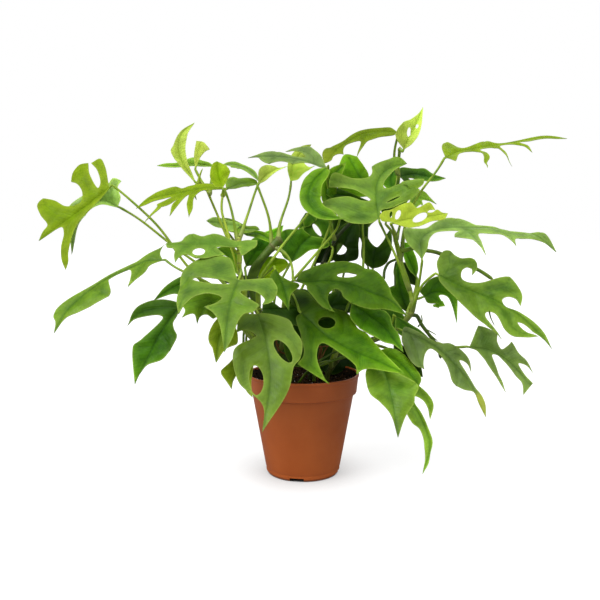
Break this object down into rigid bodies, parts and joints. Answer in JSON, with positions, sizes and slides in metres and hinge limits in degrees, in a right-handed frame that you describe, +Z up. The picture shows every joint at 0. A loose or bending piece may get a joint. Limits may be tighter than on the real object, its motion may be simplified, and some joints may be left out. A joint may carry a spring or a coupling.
{
  "type": "potted mini monstera plant",
  "caption": "Climbing mini monstera with split and holed green leaves on several vines, growing from dark soil in a terracotta-coloured plastic nursery pot",
  "frame": {"origin": "centre of the pot's flat underside, on the surface that it stands on", "axes": "+Z up, +X to the viewer's right across the plant's widest spread, +Y away from the viewer"},
  "size_m": [0.578, 0.2737, 0.3899],
  "materials": {
    "terracotta_plastic": "matte moulded plastic with a fine grain",
    "potting_soil": "crumbly dark peat with bark chips, fibres and white perlite grains",
    "stem_green": "smooth green stem with pale ringed nodes",
    "young_leaf_green": "satin leaf, fine paler veins",
    "mature_leaf_green": "satin leaf, fine veins",
    "sheen_leaf_green": "satin leaf with a cool sheen, dark midrib groove",
    "deep_leaf_green": "satin leaf, fine veins",
    "olive_leaf_green": "matte ageing leaf",
    "leaf_underside_green": "matte paler underside"
  },
  "bodies": {
    "root": {"pot": "terracotta_plastic", "soil": "potting_soil", "vine_left": "stem_green", "vine_centre": "stem_green", "vine_back": "stem_green", "vine_right": "stem_green", "runner_low_right": "stem_green", "shoot_upper_left": "stem_green", "shoot_crest": "stem_green", "leaf_upper_left_fan": "young_leaf_green", "leaf_upper_left_behind": "leaf_underside_green", "leaf_crest_tall_young": "young_leaf_green", "leaf_crest_small_young": "young_leaf_green", "leaf_crest_level": "mature_leaf_green", "leaf_crest_fingered": "young_leaf_green", "leaf_crest_cupped": "young_leaf_green", "leaf_crest_arching": "sheen_leaf_green", "leaf_crest_lower": "mature_leaf_green", "leaf_crest_pale": "young_leaf_green", "leaf_top_yellow_behind": "young_leaf_green", "leaf_top_centre_long": "sheen_leaf_green", "leaf_top_arching": "young_leaf_green", "leaf_top_unfurling": "young_leaf_green", "leaf_right_top_trailing": "young_leaf_green", "leaf_right_dark": "deep_leaf_green", "leaf_right_spike_behind": "sheen_leaf_green", "leaf_centre_big_curl": "mature_leaf_green", "leaf_centre_behind_lobe": "mature_leaf_green", "leaf_centre_large": "sheen_leaf_green", "leaf_right_yellow_holed": "young_leaf_green", "leaf_right_drooping": "sheen_leaf_green", "leaf_right_big": "sheen_leaf_green", "leaf_right_low_dark": "deep_leaf_green", "leaf_lower_right_torn": "sheen_leaf_green", "leaf_lower_right_pointed": "mature_leaf_green", "leaf_low_right_lit": "sheen_leaf_green", "leaf_low_right_shoulder": "mature_leaf_green", "leaf_low_right_sickle": "sheen_leaf_green", "leaf_front_centre_big": "mature_leaf_green", "leaf_centre_broad": "mature_leaf_green", "leaf_front_left_light": "sheen_leaf_green", "leaf_front_low": "sheen_leaf_green", "leaf_left_dark": "deep_leaf_green", "leaf_left_dark_behind": "deep_leaf_green", "leaf_left_long": "sheen_leaf_green", "leaf_left_level": "leaf_underside_green", "leaf_left_shade_fan": "mature_leaf_green", "leaf_left_olive_behind": "olive_leaf_green", "leaf_left_olive_low": "olive_leaf_green", "leaf_mid_left_level": "sheen_leaf_green", "leaf_back_centre_upper": "deep_leaf_green", "leaf_centre_left_pointed": "mature_leaf_green", "leaf_centre_dark": "deep_leaf_green", "leaf_centre_right_dark": "deep_leaf_green", "leaf_back_mid_dark": "deep_leaf_green", "leaf_back_right_dark": "deep_leaf_green", "leaf_right_shade_blue": "deep_leaf_green", "leaf_rear_left": "deep_leaf_green", "leaf_rear_right": "mature_leaf_green", "leaf_rear_high": "mature_leaf_green"}
  },
  "joints": []
}
